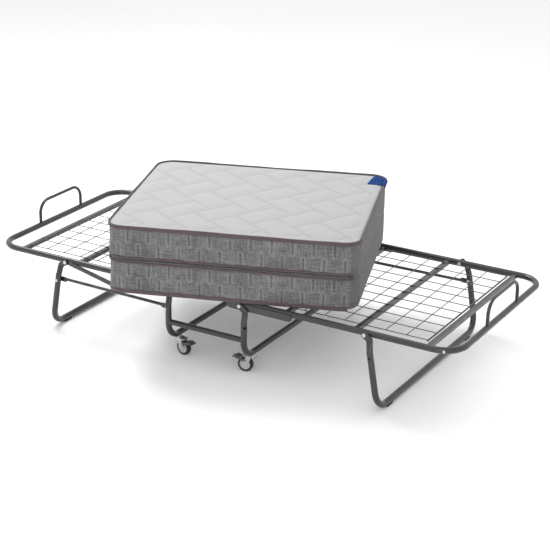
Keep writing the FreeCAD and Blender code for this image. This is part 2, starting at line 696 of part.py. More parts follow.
def brake_pedal(caster):
    """Two arms outside the fork's cheeks, a sloping tread and a shoe above the tyre."""
    body = caster_body(caster, "brake_pedal")
    pivot = ("pedal_pivot_x", PEDAL_Z)
    inside = f"({CHEEK_SPAN} + 2 * head_gap)"
    tread_x = "(caster_trail + wheel_dia / 2 - tread_lap)"
    tread_z = f"({PEDAL_Z} + tread_rise)"
    arms = sketch_on(body, "XZ_Plane")
    arm_end = (f"{tread_x} + pedal_arm_width / 2", f"{tread_z} - pedal_plate")
    add_slot(arms, pivot, arm_end, "pedal_arm_width / 2")
    pad(body, arms, f"{inside} + 2 * pedal_arm", both_ways=True)
    channel = sketch_on(body, "XZ_Plane")
    add_rectangle(channel, ("0", "0"), (tread_x, f"2 * {CROWN_Z}"))
    pocket(body, channel, inside)
    tread = sketch_on(body, "XZ_Plane")
    tip = ("pedal_pivot_x + tip_reach", f"{PEDAL_Z} + tip_rise")
    add_outline(tread, [(tread_x, f"{tread_z} + pedal_plate"), (tread_x, tread_z),
                        (tip[0], f"{tip[1]} - pedal_plate"), tip])
    pad(body, tread, "pedal_width", both_ways=True)
    shoe = sketch_on(body, "XZ_Plane")
    add_rectangle(shoe, (f"{tread_x} - shoe_reach", f"{tread_z} - shoe_drop"),
                  (f"{tread_x} + pedal_plate", f"{tread_z} + pedal_plate / 2"))
    pad(body, shoe, "wheel_width / 2", both_ways=True)
    drill(body, pivot, "pedal_stud_dia / 2 + running_gap")


# ------------------------------------------------------- mattress
def mattress_block(name, z):
    body = new_body(f"{name}_mattress_block", x="mattress_x", y="mattress_y", z=z,
                    turn=number("mattress_turn"))
    base = sketch_on(body, "XY_Plane")
    add_rectangle(base, ("-mattress_length / 2", "-mattress_width / 2"),
                  ("mattress_length / 2", "mattress_width / 2"))
    pad(body, base, "block_thick")
    fillet(body, "mattress_corner", lambda edge: abs(edge.tangentAt(edge.FirstParameter).z) > 0.9)


# ------------------------------------------------------- assembly
for half in HALVES:
    deck_frame(half)
    rail_plugs(half)
    cross_bar(half, "end_bar", f"({END_X} + {TUBE_R} - end_bar_setback)")
    cross_bar(half, "second_bar", f"({END_X} + {TUBE_R} - end_bar_setback - bar_pitch)")
    cross_bar(half, "third_bar", f"({END_X} + {TUBE_R} - end_bar_setback - 2 * bar_pitch)")
    cross_bar(half, "inner_bar", "(rail_inner_end + inner_bar_setback)")
    deck_mesh(half)
    mattress_hoop(half)
    hinge_plates(half)
    fold_rivets(half)
    leg_rivets(half)
    leg_tube(half)
    foot_glides(half)
    leg_link_pin(half)
    carriage_hoop(half)
    carriage_link_pin(half)
    link_rod(half)
corner_stud()
closing_strap()
for side in SIDES:
    side_bar(side)
caster_stems()
for caster in CASTERS:
    caster_fork(caster)
    caster_axle(caster)
    caster_tyre(caster)
    caster_hub(caster)
    if CASTERS[caster][3]:
        brake_pedal(caster)
deck_top = "(rail_height + tube_dia / 2 + mattress_rest)"
mattress_block("lower", deck_top)
mattress_block("upper", f"{deck_top} + block_thick + block_gap")
doc.recompute()

# ------------------------------------------------------- checks and output
for item in doc.Objects:
    if any(word in item.State for word in ("Invalid", "Error")):
        raise RuntimeError(f"{item.Name} failed to build")
for item in doc.Objects:
    if item.TypeId != "PartDesign::Body":
        continue
    if item.Shape.isNull() or not item.Shape.isValid():
        raise RuntimeError(f"{item.Label} has no valid shape")
    item.Shape.exportStep(f"parts/{item.Label}.step")
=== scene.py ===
import json
import math

import bpy
import numpy as np
from mathutils import Matrix, Vector
from mathutils.bvhtree import BVHTree


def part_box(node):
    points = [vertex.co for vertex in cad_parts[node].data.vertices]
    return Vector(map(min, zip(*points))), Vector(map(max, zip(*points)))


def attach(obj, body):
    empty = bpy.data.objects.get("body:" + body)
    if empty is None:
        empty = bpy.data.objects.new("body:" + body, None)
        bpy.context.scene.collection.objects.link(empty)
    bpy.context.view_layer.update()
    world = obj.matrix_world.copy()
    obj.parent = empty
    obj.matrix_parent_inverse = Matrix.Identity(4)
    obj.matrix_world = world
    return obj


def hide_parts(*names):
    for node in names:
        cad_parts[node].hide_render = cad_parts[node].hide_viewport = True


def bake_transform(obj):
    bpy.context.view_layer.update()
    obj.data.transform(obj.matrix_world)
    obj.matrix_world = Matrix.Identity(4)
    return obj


# Looks of the rollaway bed, in metres, in the CAD's frame: +X to the foot end, +Y to the
# far side, +Z up, the origin on the floor under the middle of the footprint.

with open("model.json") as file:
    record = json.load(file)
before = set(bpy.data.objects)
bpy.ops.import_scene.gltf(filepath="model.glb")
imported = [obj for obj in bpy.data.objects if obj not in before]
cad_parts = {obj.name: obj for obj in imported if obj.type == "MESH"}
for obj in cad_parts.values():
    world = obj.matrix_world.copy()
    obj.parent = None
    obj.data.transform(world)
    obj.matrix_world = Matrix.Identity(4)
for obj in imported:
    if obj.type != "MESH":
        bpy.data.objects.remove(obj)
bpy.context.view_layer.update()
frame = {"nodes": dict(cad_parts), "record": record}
scene = bpy.context.scene
BLOCKS = ("lower", "upper")

# The deck's centre line, from the frame's own box.
deck_low, deck_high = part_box("foot_deck_frame")
DECK_Y = (deck_low.y + deck_high.y) / 2

# ---------------------------------------------------------------- mattress sizes
MATTRESS_LENGTH = 0.868
MATTRESS_WIDTH = 0.738
MATTRESS_TURN = math.radians(19.5)
CORNER_RADIUS = 0.058
block_low, block_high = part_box("lower_mattress_block")
BLOCK_THICK = block_high.z - block_low.z
MATTRESS_X = (block_low.x + block_high.x) / 2
MATTRESS_Y = (block_low.y + block_high.y) / 2
BLOCK_MIDDLE = {name: sum(corner.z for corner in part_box(f"{name}_mattress_block")) / 2
                for name in BLOCKS}
GAP_Z = sum(BLOCK_MIDDLE.values()) / 2
HALF_LENGTH = MATTRESS_LENGTH / 2
HALF_WIDTH = MATTRESS_WIDTH / 2
# Two places nearer than this count as one, and TINY keeps a division away from zero.
SAME_PLANE = 1e-4
TINY = 1e-9


# ---------------------------------------------------------------- node helpers
# The Mix node's colour sockets, which share their names with its other types'.
MIX_FACTOR, MIX_FIRST, MIX_SECOND, MIX_RESULT = 0, 6, 7, 2


class Shader:
    """A node material built by short calls; texture coordinates are the object's own."""

    def __init__(self, name):
        self.material = bpy.data.materials.new(name)
        self.material.use_nodes = True
        self.tree = self.material.node_tree
        self.surface = self.tree.nodes["Principled BSDF"]
        self.place = self.node("ShaderNodeTexCoord").outputs["Object"]

    def node(self, kind, inputs=None, **settings):
        made = self.tree.nodes.new(kind)
        for key, value in settings.items():
            setattr(made, key, value)
        for key, value in (inputs or {}).items():
            self.give(made.inputs[key], value)
        return made

    def give(self, socket, value):
        if isinstance(value, bpy.types.NodeSocket):
            self.tree.links.new(value, socket)
        else:
            socket.default_value = value

    def base(self, **sockets):
        """Sets the surface's own sockets, named with underscores for spaces."""
        for key, value in sockets.items():
            self.give(self.surface.inputs[key.replace("_", " ")], value)
        return self

    def noise(self, scale, detail=2.0, roughness=0.5, stretch=(1, 1, 1)):
        mapped = self.node("ShaderNodeMapping", {"Vector": self.place, "Scale": stretch})
        texture = self.node("ShaderNodeTexNoise", {
            "Vector": mapped.outputs["Vector"], "Scale": scale, "Detail": detail,
            "Roughness": roughness})
        return texture.outputs["Fac"]

    def waves(self, direction, scale):
        texture = self.node("ShaderNodeTexWave", {"Vector": self.place, "Scale": scale, "Detail": 0.0},
                            wave_type="BANDS", bands_direction=direction)
        return texture.outputs["Fac"]

    def math(self, operation, *values):
        made = self.node("ShaderNodeMath", operation=operation)
        for socket, value in zip(made.inputs, values):
            self.give(socket, value)
        return made.outputs[0]

    def span(self, value, low, high, new_low=0.0, new_high=1.0):
        made = self.node("ShaderNodeMapRange", {
            "Value": value, "From Min": low, "From Max": high, "To Min": new_low, "To Max": new_high})
        return made.outputs["Result"]

    def mix(self, factor, first, second):
        made = self.node("ShaderNodeMix", data_type="RGBA")
        self.give(made.inputs[MIX_FACTOR], factor)
        self.give(made.inputs[MIX_FIRST], rgba(first) if isinstance(first, tuple) else first)
        self.give(made.inputs[MIX_SECOND], rgba(second) if isinstance(second, tuple) else second)
        return made.outputs[MIX_RESULT]

    def attribute(self, name):
        return self.node("ShaderNodeAttribute", attribute_name=name).outputs["Fac"]

    def bump(self, height, distance, strength):
        made = self.node("ShaderNodeBump", {
            "Height": height, "Distance": distance, "Strength": strength})
        self.give(self.surface.inputs["Normal"], made.outputs["Normal"])
        return self


def rgba(colour):
    return (*colour, 1.0)


def grey(value, warmth=0.0):
    """A linear grey; positive warmth leans to mauve."""
    return (value * (1 + warmth), value * (1 - warmth * 0.5), value * (1 + warmth * 0.3))


def cool(value):
    """A linear grey leaning to blue."""
    return (value * 0.98, value * 0.97, value * 1.10)


# ---------------------------------------------------------------- materials
def powder_coat(name, value, roughness):
    """Satin powder coat: fine orange peel, faint cloudiness and dustier patches."""
    shader = Shader(name)
    clouds = shader.noise(9, detail=4)
    peel = shader.noise(420, detail=1)
    speckle = shader.noise(1500, detail=0)
    shade = shader.mix(shader.span(clouds, 0.35, 0.65), cool(value * 0.85), cool(value * 1.18))
    dustier = shader.span(shader.noise(26, detail=3), 0.3, 0.7, roughness - 0.06, roughness + 0.1)
    shader.base(Base_Color=shade, Specular_IOR_Level=0.55, Coat_Weight=0.35, Coat_Roughness=0.14,
                Roughness=dustier)
    shader.bump(shader.math("ADD", peel, shader.math("MULTIPLY", speckle, 0.3)), 0.0004, 0.35)
    return shader.material


def metal(name, value, roughness):
    """Plated steel with a fine grain and a dull bloom."""
    shader = Shader(name)
    grain = shader.noise(500)
    bloom = shader.noise(60, detail=4)
    shade = shader.mix(shader.span(bloom, 0.3, 0.7), grey(value * 0.82), grey(value))
    shader.base(Base_Color=shade, Metallic=1.0,
                Roughness=shader.span(bloom, 0.3, 0.75, roughness, roughness + 0.18))
    shader.bump(grain, 0.0003, 0.25)
    return shader.material


def plastic(name, value, roughness):
    """Moulded plastic with a fine spark-eroded grain and some scuffs."""
    shader = Shader(name)
    scuffs = shader.noise(45, detail=5, roughness=0.7)
    shade = shader.mix(shader.span(scuffs, 0.5, 0.8), grey(value), grey(value * 1.35 + 0.01))
    shader.base(Base_Color=shade, Roughness=shader.span(scuffs, 0.3, 0.8, roughness, roughness + 0.15))
    shader.bump(shader.noise(900, detail=1), 0.0003, 0.3)
    return shader.material


def rubber(name, value):
    """Rubber with a dusty bloom."""
    shader = Shader(name)
    dust = shader.noise(70, detail=5, roughness=0.65)
    shade = shader.mix(shader.span(dust, 0.45, 0.8), grey(value), grey(value * 2.2 + 0.01))
    shader.base(Base_Color=shade, Roughness=0.72, Specular_IOR_Level=0.35)
    shader.bump(shader.noise(700, detail=2), 0.0004, 0.4)
    return shader.material


def linen(name, dark, light):
    """Coarse linen-look weave: slubby threads both ways over a fine plain weave, plainer
    and paler over the spine, with painted shade in the stitched dashes and a painted highlight on the
    puckers between them."""
    shader = Shader(name)
    weft = shader.noise(1, detail=3, roughness=0.6, stretch=(34, 34, 360))
    warp = shader.noise(1, detail=3, roughness=0.6, stretch=(330, 330, 38))
    threads = shader.math("ADD", shader.math("MULTIPLY", weft, 0.5),
                          shader.math("MULTIPLY", warp, 0.5))
    patches = shader.noise(14, detail=3)
    uneven = shader.math("MULTIPLY", shader.math("SUBTRACT", patches, 0.5), 0.25)
    tone = shader.math("ADD", threads, uneven)
    border = shader.mix(shader.span(tone, 0.38, 0.62), grey(dark, 0.02), grey(light, 0.01))
    spine = shader.mix(shader.span(tone, 0.36, 0.64), grey(dark, 0.02), grey(light * 0.78, 0.01))
    cloth = shader.mix(shader.attribute("spine"), border, spine)
    # Painted highlight on the puckers beside the dashes.
    pucker_highlight = shader.math("MULTIPLY", shader.attribute("pucker_highlight"), 0.30)
    # Painted shade along the stitched dashes and on the slot's lips.
    groove_shade = shader.math("MULTIPLY", shader.attribute("groove_shade"), 0.42)
    shade = shader.mix(groove_shade, shader.mix(pucker_highlight, cloth, grey(light * 1.5)), grey(dark * 0.4, 0.05))
    shader.base(Base_Color=shade, Roughness=0.9, Sheen_Weight=0.12, Sheen_Roughness=0.5,
                Specular_IOR_Level=0.25)
    weave = shader.math("MULTIPLY", shader.waves("Z", 190),
                        shader.math("MAXIMUM", shader.waves("X", 190), shader.waves("Y", 190)))
    shader.bump(shader.math("ADD", shader.math("MULTIPLY", weave, 0.4), threads), 0.0008, 0.45)
    return shader.material


def knit(name, value):
    """Stretch-knit ticking: soft white, with a fine looped surface and painted shade along the
    quilting's seams.
    """
    shader = Shader(name)
    loops = shader.math("MULTIPLY", shader.waves("X", 210), shader.waves("Y", 170))
    mottle = shader.noise(240, detail=3, roughness=0.65)
    clouds = shader.noise(5, detail=2)
    cloth = shader.mix(shader.span(mottle, 0.3, 0.7), grey(value * 0.93), grey(value))
    cloth = shader.mix(shader.span(clouds, 0.3, 0.7, 0, 0.5), cloth,
                       (value * 0.97, value * 0.95, value * 0.97))
    # Painted shade along the quilting's seams and on the slot's lips.
    groove_shade = shader.math("MULTIPLY", shader.attribute("groove_shade"), 0.24)
    shade = shader.mix(groove_shade, cloth, grey(value * 0.5))
    shader.base(Base_Color=shade, Roughness=0.88, Sheen_Weight=0.2, Sheen_Roughness=0.4,
                Specular_IOR_Level=0.25)
    shader.bump(shader.math("ADD", shader.math("MULTIPLY", loops, 0.5), mottle), 0.0006, 0.45)
    return shader.material


def tape(name, value):
    """Ribbed binding tape."""
    shader = Shader(name)
    ribs = shader.waves("DIAGONAL", 150)
    streaks = shader.noise(1, detail=3, stretch=(60, 60, 500))
    shade = shader.mix(shader.span(streaks, 0.3, 0.7), (value * 0.90, value * 0.64, value * 0.74),
                       (value * 1.25, value * 0.93, value * 1.05))
    shader.base(Base_Color=shade, Roughness=0.8, Sheen_Weight=0.15, Specular_IOR_Level=0.3)
    shader.bump(shader.math("ADD", ribs, streaks), 0.0005, 0.5)
    return shader.material


def blue_cloth(name):
    """Plain-woven blue cloth."""
    shader = Shader(name)
    weave = shader.math("MULTIPLY", shader.waves("X", 260), shader.waves("Y", 260))
    shade = shader.mix(shader.noise(300, detail=2), (0.001, 0.026, 0.13), (0.003, 0.045, 0.20))
    shader.base(Base_Color=shade, Roughness=0.8, Specular_IOR_Level=0.2)
    shader.bump(weave, 0.0004, 0.4)
    return shader.material


LOOKS = {
    "frame_paint": powder_coat("frame_powder_coat", 0.017, roughness=0.34),
    "wire_paint": powder_coat("mesh_coating", 0.020, roughness=0.38),
    "zinc": metal("zinc_plate", 0.62, 0.24),
    "plug_plastic": plastic("plug_plastic", 0.02, 0.5),
    "rubber": rubber("glide_rubber", 0.02),
    "tyre": rubber("tyre_rubber", 0.016),
    "hub_plastic": plastic("hub_plastic", 0.5, 0.42),
    "pedal_plastic": plastic("pedal_plastic", 0.07, 0.45),
}
LINEN = linen("border_linen", 0.080, 0.205)
KNIT = knit("top_knit", 0.415)
TAPE = tape("binding_tape", 0.085)
BLUE = blue_cloth("blue_tab_cloth")

for entry in frame["record"]["subparts"]:
    look = LOOKS.get(entry["material_slot"])
    if look:
        node = frame["nodes"][entry["node"]]
        node.data.materials.clear()
        node.data.materials.append(look)


# ---------------------------------------------------------------- mesh helpers
def new_mesh(name, points, faces, materials):
    mesh = bpy.data.meshes.new(name)
    mesh.from_pydata([tuple(point) for point in points], [], [tuple(face) for face in faces])
    mesh.update()
    for material in materials:
        mesh.materials.append(material)
    mesh.polygons.foreach_set("use_smooth", [True] * len(mesh.polygons))
    obj = bpy.data.objects.new(name, mesh)
    scene.collection.objects.link(obj)
    return obj


def coordinates(mesh):
    flat = np.empty(len(mesh.vertices) * 3)
    mesh.vertices.foreach_get("co", flat)
    return flat.reshape(-1, 3)


def set_coordinates(mesh, points):
    mesh.vertices.foreach_set("co", np.asarray(points, float).ravel())
    mesh.update()


def smoothstep(value):
    value = np.clip(value, 0, 1)
    return value * value * (3 - 2 * value)


def sweep(name, path, sections, material, closed):
    """A skin over sections, each a list of (out, up) offsets at one point of a flat path.
    path gives (point, outward direction) pairs."""
    count = len(sections[0])
    points = []
    for (place, outward), section in zip(path, sections):
        points += [place + outward * out + Vector((0, 0, up)) for out, up in section]
    faces = []
    rings = len(path)
    for ring in range(rings if closed else rings - 1):
        here, there = ring * count, (ring + 1) % rings * count
        for i in range(count):
            j = (i + 1) % count
            faces.append((here + i, there + i, there + j, here + j))
    if not closed:
        faces.append(tuple(range(count)))
        faces.append(tuple(range((rings - 1) * count, rings * count))[::-1])
    return new_mesh(name, points, faces, [material])


# ---------------------------------------------------------------- mattress form
QUILT_STEP = 0.145
QUILT_ROW = 0.240
QUILT_WIDTH = QUILT_STEP / math.sqrt(2)
QUILT_LENGTH = QUILT_ROW / math.sqrt(2)
SEAM_REACH = (QUILT_WIDTH + QUILT_LENGTH) / 2 / math.sqrt(2)
FALLING_SEAM = (-0.215, -0.046)
RISING_SEAM = (-0.148, -0.169)


def quilt_distance(x, y):
    """Distance to the nearest seam of a herringbone of two crossing sets of seams."""
    nearest = np.full(len(x), 1.0)
    for (start_x, start_y), slope in ((FALLING_SEAM, -1), (RISING_SEAM, 1)):
        for column in range(-4, 9):
            for row in range(-3, 4):
                dx, dy = x - (start_x + column * QUILT_STEP), y - (start_y + row * QUILT_ROW)
                along = (dx + slope * dy) / math.sqrt(2)
                across = (dy - slope * dx) / math.sqrt(2)
                past = np.maximum(np.abs(along) - SEAM_REACH * math.sqrt(2), 0)
                nearest = np.minimum(nearest, np.hypot(across, past))
    return nearest


# Beyond this x the walls are the plain spine cloth.
SPINE_START = HALF_LENGTH - CORNER_RADIUS * 0.55
DASH_PITCH = 0.071
DASH_HALF = 0.019
DASH_ROWS = ((0.026, 0.0), (-0.026, 0.5))


def dash_distance(along, up):
    """Distance to the nearest upright stitched dash of two staggered rows."""
    nearest = np.full(len(along), 1.0)
    for row, stagger in DASH_ROWS:
        offset = (along / DASH_PITCH + stagger + 0.5) % 1.0 - 0.5
        past = np.maximum(np.abs(up - row) - DASH_HALF, 0)
        nearest = np.minimum(nearest, np.hypot(offset * DASH_PITCH, past))
    return nearest


def round_corners(x, y):
    """Moves the points of a rectangle's corner squares onto the rounded corners."""
    inner_x, inner_y = HALF_LENGTH - CORNER_RADIUS, HALF_WIDTH - CORNER_RADIUS
    dx, dy = np.maximum(np.abs(x) - inner_x, 0), np.maximum(np.abs(y) - inner_y, 0)
    corner = (dx > 0) & (dy > 0)
    length = np.hypot(dx, dy)
    scale = np.where(corner, np.maximum(dx, dy) / np.maximum(length, TINY), 1.0)
    new_x = np.where(corner, np.sign(x) * (inner_x + dx * scale), x)
    new_y = np.where(corner, np.sign(y) * (inner_y + dy * scale), y)
    return new_x, new_y


def block_shell(step):
    """A closed box of quads with rounded upright corners, in the block's own frame."""
    counts = [max(2, round(size / step)) for size in (MATTRESS_LENGTH, MATTRESS_WIDTH, BLOCK_THICK)]
    halves = (HALF_LENGTH, HALF_WIDTH, BLOCK_THICK / 2)
    index, points, faces = {}, [], []

    def vertex(key):
        if key not in index:
            index[key] = len(points)
            points.append([-half + 2 * half * k / n for k, n, half in zip(key, counts, halves)])
        return index[key]

    for axis in range(3):
        u, v = (axis + 1) % 3, (axis + 2) % 3
        for end in (0, counts[axis]):
            for i in range(counts[u]):
                for j in range(counts[v]):
                    ring = []
                    for di, dj in ((0, 0), (1, 0), (1, 1), (0, 1)):
                        key = [0, 0, 0]
                        key[axis], key[u], key[v] = end, i + di, j + dj
                        ring.append(vertex(tuple(key)))
                    faces.append(ring if end else ring[::-1])
    points = np.array(points)
    points[:, 0], points[:, 1] = round_corners(points[:, 0], points[:, 1])
    return points, faces


# ---------------------------------------------------------------- stuffing
SIM_STEP = 0.0178
# Before it swells, each cover stands a little outside the block's walls and inside its panels.
WALL_START = 0.002
TOP_START = -0.004
SWELL_LIMIT = 0.007
SPINE_INSET = 0.002
REST_INSET = 0.001
SPINE_HOLD_DEPTH = 0.01
SPINE_HOLD = 0.8
CLOTH_FRAMES = 20
CLOTH_QUALITY = 6
CLOTH_MASS = 0.3
CLOTH_PRESSURE = 4
CLOTH_STIFFNESS = 12


def press_flat(points, name):
    """Keeps flat the faces that rest on the deck or on the other block, and the spine wall,
    which turns against the other block's when the mattress opens."""
    reach = BLOCK_THICK / 2 - REST_INSET
    points[:, 0] = np.minimum(points[:, 0], HALF_LENGTH - SPINE_INSET)
    points[:, 2] = np.maximum(points[:, 2], -reach)
    if name == "lower":
        points[:, 2] = np.minimum(points[:, 2], reach)
    return points


def inflate(obj, name):
    """Blows the shell up like a stuffed cover whose corded edges hold still."""
    rest = coordinates(obj.data)
    edges = obj.vertex_groups.new(name="corded_edges")
    on_top = np.abs(rest[:, 2]) > rest[:, 2].max() - SAME_PLANE
    rim = np.zeros(len(rest), bool)
    for polygon in obj.data.polygons:
        corners = list(polygon.vertices)
        if not on_top[corners].all():
            for vertex in corners:
                rim[vertex] |= on_top[vertex]
    edges.add([int(i) for i in np.nonzero(rim)[0]], 1.0, "REPLACE")
    spine = rest[:, 0] > HALF_LENGTH - SPINE_HOLD_DEPTH
    edges.add([int(i) for i in np.nonzero(spine & ~rim)[0]], SPINE_HOLD, "REPLACE")
    cloth = obj.modifiers.new("cloth", "CLOTH")
    cloth.settings.quality = CLOTH_QUALITY
    cloth.settings.mass = CLOTH_MASS
    cloth.settings.use_pressure = True
    cloth.settings.uniform_pressure_force = CLOTH_PRESSURE
    cloth.settings.vertex_group_mass = "corded_edges"
    cloth.settings.tension_stiffness = CLOTH_STIFFNESS
    cloth.settings.compression_stiffness = CLOTH_STIFFNESS
    cloth.settings.effector_weights.gravity = 0
    cloth.point_cache.frame_start = 1
    cloth.point_cache.frame_end = CLOTH_FRAMES
    for tick in range(1, CLOTH_FRAMES + 1):
        scene.frame_set(tick)
    evaluated = obj.evaluated_get(bpy.context.evaluated_depsgraph_get())
    blown = np.array([tuple(vertex.co) for vertex in evaluated.data.vertices])
    obj.modifiers.clear()
    scene.frame_set(1)
    move = blown - rest
    length = np.linalg.norm(move, axis=1, keepdims=True)
    capped = move * np.minimum(1, SWELL_LIMIT / np.maximum(length, TINY))
    set_coordinates(obj.data, press_flat(rest + capped, name))


# ---------------------------------------------------------------- seams
# Where a face's or vertex's normal counts as a panel's rather than a wall's.
PANEL_NORMAL = 0.72
FLAT_START = 0.75
FLAT_SPAN = 0.2
# The panels' quilting, which fades out towards the tape.
PANEL_MARGIN = 0.006
PANEL_FADE = 0.03
# How wide the painted shade along the panels' seams is.
QUILT_SHADE_WIDTH = 0.0065
QUILT_PILLOW = 0.022
QUILT_RISE = 0.0035
QUILT_SINK = 0.0030
# The walls' stitched dashes.
SPINE_FADE = 0.012
# How wide the painted shade along the dashes is.
DASH_SHADE_WIDTH = 0.0032
DASH_PILLOW = 0.016
DASH_RISE = 0.0030
DASH_SINK = 0.0026
# Where and how wide the painted highlight beside each dash lies.
PUCKER_HIGHLIGHT_AWAY = 0.007
PUCKER_HIGHLIGHT_WIDTH = 0.0035
# Painted shade on the lips deep in the slot between the blocks.
LIP_HEIGHT = 0.011
LIP_SPAN = 0.004
LIP_DEPTH = 0.020
LIP_FADE = 0.012
LIP_SHADE = 2.3


def perimeter(x, y):
    """Distance along the walls, which only has to run evenly along each wall."""
    return np.where(np.abs(y) > HALF_WIDTH - CORNER_RADIUS, x, y)


def quilt(obj, name):
    """Sews the seams: grooves in the panels and walls with painted shade along them, a painted highlight
    beside each dash, painted shade on the slot's lips, and which parts are linen or knit.
    """
    mesh = obj.data
    points = coordinates(mesh)
    normals = np.empty(len(mesh.vertices) * 3)
    mesh.vertices.foreach_get("normal", normals)
    normals = normals.reshape(-1, 3)
    x, y, z = points.T
    flat = smoothstep((np.abs(normals[:, 2]) - FLAT_START) / FLAT_SPAN)
    inset = np.minimum(HALF_LENGTH - np.abs(x), HALF_WIDTH - np.abs(y))
    seam = quilt_distance(x, y)
    # Painted shade along the panels' seams.
    panel_groove_shade = np.exp(-(seam / QUILT_SHADE_WIDTH) ** 2)
    pillow = 1 - np.exp(-(seam / QUILT_PILLOW) ** 2)
    fade = smoothstep((inset - PANEL_MARGIN) / PANEL_FADE)
    panel = flat * fade * (QUILT_RISE * pillow - QUILT_SINK)
    on_spine = smoothstep((x - SPINE_START) / SPINE_FADE)
    dash = dash_distance(perimeter(x, y), z)
    wall = (1 - flat) * (1 - on_spine)
    # Painted shade along the walls' dashes.
    wall_groove_shade = np.exp(-(dash / DASH_SHADE_WIDTH) ** 2)
    ripple = 1 - np.exp(-(dash / DASH_PILLOW) ** 2)
    # A painted highlight beside each dash; the shape is not changed.
    pucker_highlight = np.exp(-((dash - PUCKER_HIGHLIGHT_AWAY) / PUCKER_HIGHLIGHT_WIDTH) ** 2)
    shift = panel + wall * (DASH_RISE * ripple - DASH_SINK)
    set_coordinates(mesh, points + normals * shift[:, None])
    # Painted shade on the lips deep in the slot, where the blocks meet.
    inward = z if name == "lower" else -z
    lip = (smoothstep((inward - BLOCK_THICK / 2 + LIP_HEIGHT) / LIP_SPAN)
           * smoothstep((LIP_DEPTH - inset) / LIP_FADE))
    # Painted shade along the seams and dashes, and on the slot's lips, goes into one attribute.
    seams = flat * fade * panel_groove_shade + wall * wall_groove_shade
    add_attribute(mesh, "groove_shade", np.maximum(seams, LIP_SHADE * lip))
    add_attribute(mesh, "pucker_highlight", wall * pucker_highlight)
    add_attribute(mesh, "spine", (1 - flat) * on_spine)
    face_normals = np.empty(len(mesh.polygons) * 3)
    mesh.polygons.foreach_get("normal", face_normals)
    slots = (np.abs(face_normals.reshape(-1, 3)[:, 2]) < PANEL_NORMAL).astype(np.int32)
    mesh.polygons.foreach_set("material_index", slots)
    mesh.update()


def add_attribute(mesh, name, values):
    layer = mesh.attributes.new(name, "FLOAT", "POINT")
    layer.data.foreach_set("value", np.asarray(values, np.float32))


def block_place(z):
    return Matrix.Translation((MATTRESS_X, MATTRESS_Y, z)) @ Matrix.Rotation(MATTRESS_TURN, 4, "Z")


def subdivide(obj, levels):
    modifier = obj.modifiers.new("subdivision", "SUBSURF")
    modifier.levels = modifier.render_levels = levels
    bpy.context.view_layer.update()
    evaluated = obj.evaluated_get(bpy.context.evaluated_depsgraph_get())
    finer = bpy.data.meshes.new_from_object(evaluated)
    obj.modifiers.clear()
    obj.data = finer


def make_cover(name):
    """One block's cover: stuffed, made finer, sewn and put in its place."""
    points, faces = block_shell(SIM_STEP)
    points[:, :2] *= 1 + WALL_START / HALF_WIDTH
    points[:, 2] *= 1 + TOP_START / (BLOCK_THICK / 2)
    cover = new_mesh(f"{name}_mattress_cover", points, faces, [KNIT, LINEN])
    inflate(cover, name)
    subdivide(cover, 2)
    subdivide(cover, 1)
    quilt(cover, name)
    cover.matrix_world = block_place(BLOCK_MIDDLE[name])
    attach(cover, f"{name}_mattress")
    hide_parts(f"{name}_mattress_block")
    return cover


# ---------------------------------------------------------------- binding tape
TAPE_HEIGHT = 0.0145
TAPE_DEPTH = 0.0065
# A tape's section: how far its bead reaches, sits out and sinks in, and how square it is.
SECTION_POINTS = 14
BEAD_REACH = 0.62
BEAD_SHIFT = 0.35
BEAD_SUNK = 0.001
BEAD_SQUARE = 0.7
BEAD_FLAT = 0.8
# How unevenly the tapes run up and down, in and out, and in thickness.
TAPE_WAVER = 0.0006
TAPE_SWAY = 0.0005
BEAD_WAVER = 0.04
TAPE_STEP = 0.006
SLOT_STEP = 0.005


def outline_points(step):
    """(place, outward) pairs around the block's outline, from the middle of the spine."""
    pairs = []
    inner_x, inner_y = HALF_LENGTH - CORNER_RADIUS, HALF_WIDTH - CORNER_RADIUS

    def straight(start, end, outward):
        count = max(1, round((end - start).length / step))
        pairs.extend((start.lerp(end, i / count), outward.copy()) for i in range(count))

    def bend(centre, first):
        count = max(3, round(CORNER_RADIUS * math.pi / 2 / step))
        for i in range(count):
            angle = first + math.pi / 2 * i / count
            outward = Vector((math.cos(angle), math.sin(angle), 0))
            pairs.append((centre + outward * CORNER_RADIUS, outward))

    straight(Vector((HALF_LENGTH, 0, 0)), Vector((HALF_LENGTH, inner_y, 0)), Vector((1, 0, 0)))
    bend(Vector((inner_x, inner_y, 0)), 0)
    straight(Vector((inner_x, HALF_WIDTH, 0)), Vector((-inner_x, HALF_WIDTH, 0)), Vector((0, 1, 0)))
    bend(Vector((-inner_x, inner_y, 0)), math.pi / 2)
    straight(Vector((-HALF_LENGTH, inner_y, 0)), Vector((-HALF_LENGTH, -inner_y, 0)), Vector((-1, 0, 0)))
    bend(Vector((-inner_x, -inner_y, 0)), math.pi)
    straight(Vector((-inner_x, -HALF_WIDTH, 0)), Vector((inner_x, -HALF_WIDTH, 0)), Vector((0, -1, 0)))
    bend(Vector((inner_x, -inner_y, 0)), 1.5 * math.pi)
    straight(Vector((HALF_LENGTH, -inner_y, 0)), Vector((HALF_LENGTH, 0, 0)), Vector((1, 0, 0)))
    return pairs


def tape_section(wobble, height=TAPE_HEIGHT):
    """A flattened bead folded over the seam, a little plumper outside."""
    section = []
    for i in range(SECTION_POINTS):
        angle = 2 * math.pi * i / SECTION_POINTS
        out, up = math.cos(angle), math.sin(angle)
        bead = BEAD_SHIFT + abs(out) ** BEAD_SQUARE * math.copysign(BEAD_REACH, out)
        section.append((TAPE_DEPTH * bead - BEAD_SUNK,
                        height / 2 * abs(up) ** BEAD_FLAT * math.copysign(1, up) * (1 + wobble)))
    return section


